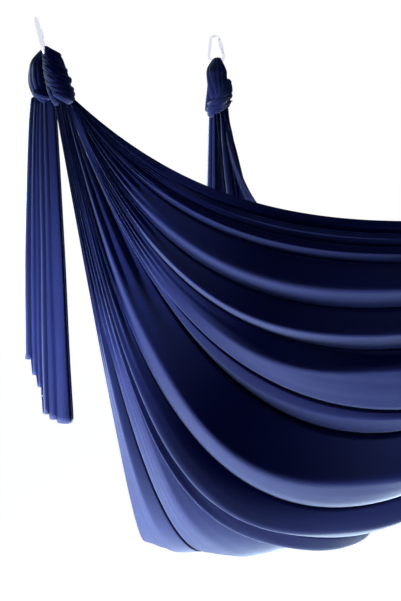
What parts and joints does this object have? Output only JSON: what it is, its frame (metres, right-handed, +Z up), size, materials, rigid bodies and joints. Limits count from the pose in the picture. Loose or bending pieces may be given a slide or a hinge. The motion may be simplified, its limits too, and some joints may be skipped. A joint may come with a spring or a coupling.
{
  "type": "aerial yoga hammock",
  "caption": "Long tricot sling gathered and knotted at both ends through screw-gate carabiners, opened out into a deep pouch with two free tails.",
  "frame": {"origin": "front hang point: inside of the top bow of the front carabiner, where a strap or anchor ring bears", "axes": "+Z up along the pull of the anchor; +Y from the front hang point to the rear one; +X to the side that the sling opens out to"},
  "size_m": [1.372, 1.1301, 1.9335],
  "materials": {
    "tricot": "matt knitted nylon with a soft sheen",
    "alloy": "polished",
    "steel": "bright"
  },
  "bodies": {
    "cloth": {"sling": "tricot", "front_knot_loop": "tricot", "front_knot_wrap": "tricot", "front_tail": "tricot", "rear_knot_loop": "tricot", "rear_knot_wrap": "tricot", "rear_tail": "tricot"},
    "front_carabiner": {"front_carabiner_frame": "alloy"},
    "front_gate": {"front_gate": "alloy", "front_gate_rivet": "steel", "front_latch_pin": "steel", "front_gate_spring": "steel", "front_spring_plunger": "steel"},
    "front_sleeve": {"front_lock_sleeve": "alloy"},
    "rear_carabiner": {"rear_carabiner_frame": "alloy"},
    "rear_gate": {"rear_gate": "alloy", "rear_gate_rivet": "steel", "rear_latch_pin": "steel", "rear_gate_spring": "steel", "rear_spring_plunger": "steel"},
    "rear_sleeve": {"rear_lock_sleeve": "alloy"}
  },
  "joints": [
    {"name": "front_carabiner_swing", "type": "hinge", "parent": "cloth", "child": "front_carabiner", "pos_m": [0.01683, 0.01485, -0.09899], "axis": [-0.603, 0.7976, 0.0171], "range_deg": [-20, 20]},
    {"name": "front_gate_hinge", "type": "hinge", "parent": "front_carabiner", "child": "front_gate", "pos_m": [-0.00876, 0.01613, -0.0118], "axis": [-0.7803, -0.5852, -0.2204], "range_deg": [0, 22], "stiffness_Nm_per_rad": 0.6, "springref_deg": -11.46},
    {"name": "front_sleeve_slide", "type": "slide", "parent": "front_gate", "child": "front_sleeve", "axis": [0.0418, 0.3028, -0.9521], "range_m": [0, 0.013]},
    {"name": "rear_carabiner_swing", "type": "hinge", "parent": "cloth", "child": "rear_carabiner", "pos_m": [0.01693, 1.01004, -0.05258], "axis": [0.7898, 0.609, 0.0734], "range_deg": [-20, 20]},
    {"name": "rear_gate_hinge", "type": "hinge", "parent": "rear_carabiner", "child": "rear_gate", "pos_m": [0.01624, 1.02971, 0.03613], "axis": [-0.5903, 0.7871, -0.1791], "range_deg": [0, 22], "stiffness_Nm_per_rad": 0.6, "springref_deg": -11.46},
    {"name": "rear_sleeve_slide", "type": "slide", "parent": "rear_gate", "child": "rear_sleeve", "axis": [0.3214, 0.0257, -0.9466], "range_m": [0, 0.013]}
  ]
}
